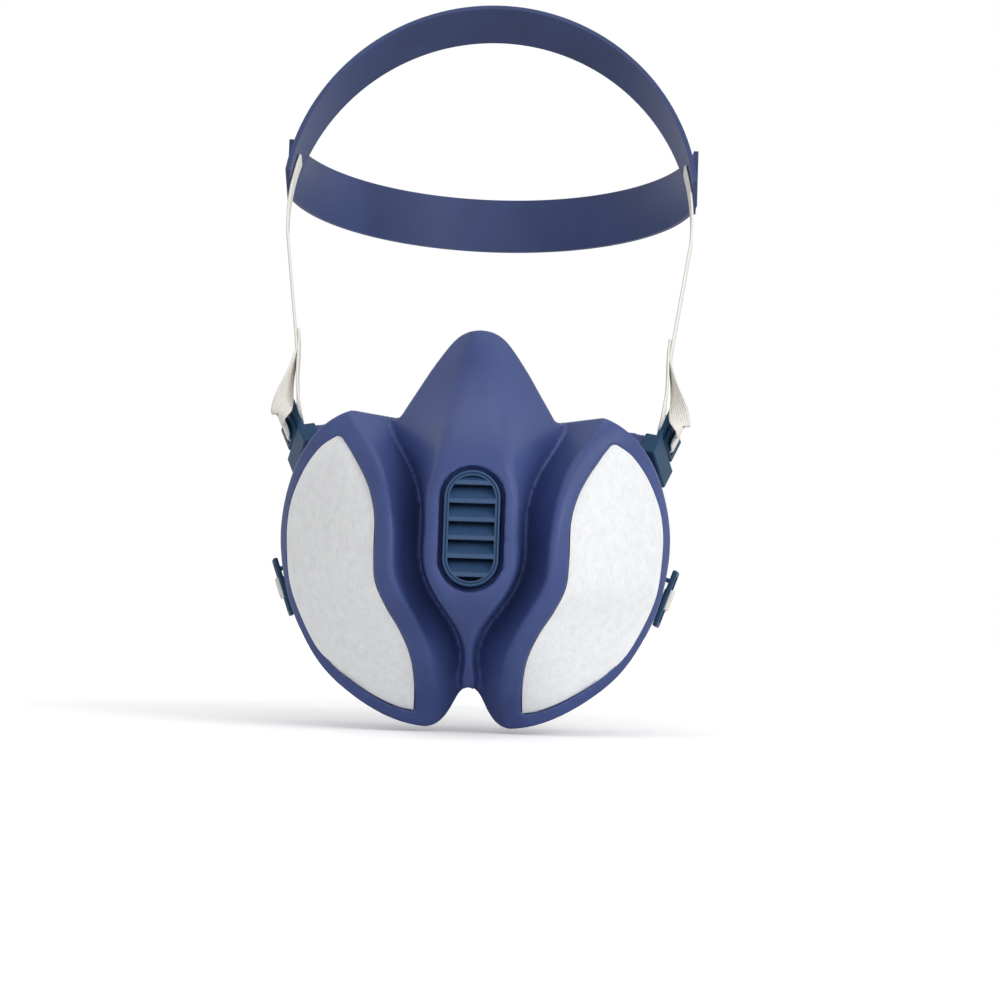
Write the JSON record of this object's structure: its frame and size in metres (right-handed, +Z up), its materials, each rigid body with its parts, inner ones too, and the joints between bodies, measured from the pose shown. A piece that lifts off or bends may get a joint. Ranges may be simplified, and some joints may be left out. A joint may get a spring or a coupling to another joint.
{
  "type": "half mask respirator",
  "caption": "Half mask respirator: moulded facepiece with bonded bean-shaped filters on both sides, a louvred exhalation valve, and elastic head and neck straps.",
  "frame": {"origin": "middle of the face opening, at the back of the seal and at the exhalation valve's height", "axes": "+X right as someone facing the mask sees it, +Y back towards the wearer, +Z up"},
  "size_m": [0.1616, 0.2565, 0.281],
  "materials": {
    "shell_elastomer": "satin navy moulded elastomer",
    "seal_silicone": "soft matt silicone",
    "filter_felt": "white needle felt",
    "filter_fibre": "white electret fibre web",
    "carbon": "black activated carbon web",
    "inner_plastic": "moulded plastic",
    "flap_silicone": "thin silicone sheet",
    "cover_plastic": "satin moulded plastic",
    "block_plastic": "satin moulded plastic",
    "pin_steel": "drawn steel",
    "strap_elastic": "woven elastic webbing",
    "cradle_plastic": "soft moulded plastic"
  },
  "bodies": {
    "mask": {"facepiece": "shell_elastomer", "face_seal": "seal_silicone", "prefilter_left": "filter_felt", "prefilter_right": "filter_felt", "fibre_filter_left": "filter_fibre", "fibre_filter_right": "filter_fibre", "carbon_bed_left": "carbon", "carbon_bed_right": "carbon", "bed_retainer_left": "inner_plastic", "bed_retainer_right": "inner_plastic", "inhale_seat_left": "inner_plastic", "inhale_seat_right": "inner_plastic", "exhale_seat": "inner_plastic", "exhale_cover": "cover_plastic", "strap_block_left": "block_plastic", "strap_block_right": "block_plastic", "lower_loop_left": "block_plastic", "lower_loop_right": "block_plastic", "guide_rod_left": "block_plastic", "guide_rod_right": "block_plastic", "buckle_pin_left": "pin_steel", "buckle_pin_right": "pin_steel", "head_strap_left": "strap_elastic", "head_strap_right": "strap_elastic", "neck_strap_left": "strap_elastic", "neck_strap_right": "strap_elastic", "head_cradle": "cradle_plastic", "neck_eye": "block_plastic"},
    "exhale_membrane": {"exhale_flap": "flap_silicone"},
    "clasp_hook": {"neck_hook": "block_plastic"},
    "inhale_membrane_left": {"inhale_flap_left": "flap_silicone"},
    "buckle_left": {"ladder_buckle_left": "block_plastic"},
    "inhale_membrane_right": {"inhale_flap_right": "flap_silicone"},
    "buckle_right": {"ladder_buckle_right": "block_plastic"}
  },
  "joints": [
    {"name": "exhale_flap_hinge", "type": "hinge", "parent": "mask", "child": "exhale_membrane", "pos_m": [0, -0.07949, 0.01582], "axis": [-1, 0, 0], "range_deg": [0, 5], "stiffness_Nm_per_rad": 0.0002, "springref_deg": -17.19},
    {"name": "clasp_release", "type": "slide", "parent": "mask", "child": "clasp_hook", "axis": [0, 0.9848, -0.1736], "range_m": [0, 0.006], "deforming": ["neck_strap_left", "neck_strap_right"]},
    {"name": "inhale_flap_lift_left", "type": "slide", "parent": "mask", "child": "inhale_membrane_left", "axis": [0.7597, 0.6502, 0], "range_m": [0, 0.0016], "stiffness_N_per_m": 10, "springref_m": -0.001},
    {"name": "buckle_tilt_left", "type": "hinge", "parent": "mask", "child": "buckle_left", "pos_m": [-0.07137, -0.0029, 0.03458], "axis": [-0.3659, 0.5229, 0.7699], "range_deg": [0, 25], "deforming": ["head_strap_left"]},
    {"name": "inhale_flap_lift_right", "type": "slide", "parent": "mask", "child": "inhale_membrane_right", "axis": [-0.7597, 0.6502, 0], "range_m": [0, 0.0016], "stiffness_N_per_m": 10, "springref_m": -0.001},
    {"name": "buckle_tilt_right", "type": "hinge", "parent": "mask", "child": "buckle_right", "pos_m": [0.07137, -0.0029, 0.03458], "axis": [-0.3659, -0.5229, -0.7699], "range_deg": [0, 25], "deforming": ["head_strap_right"]}
  ]
}
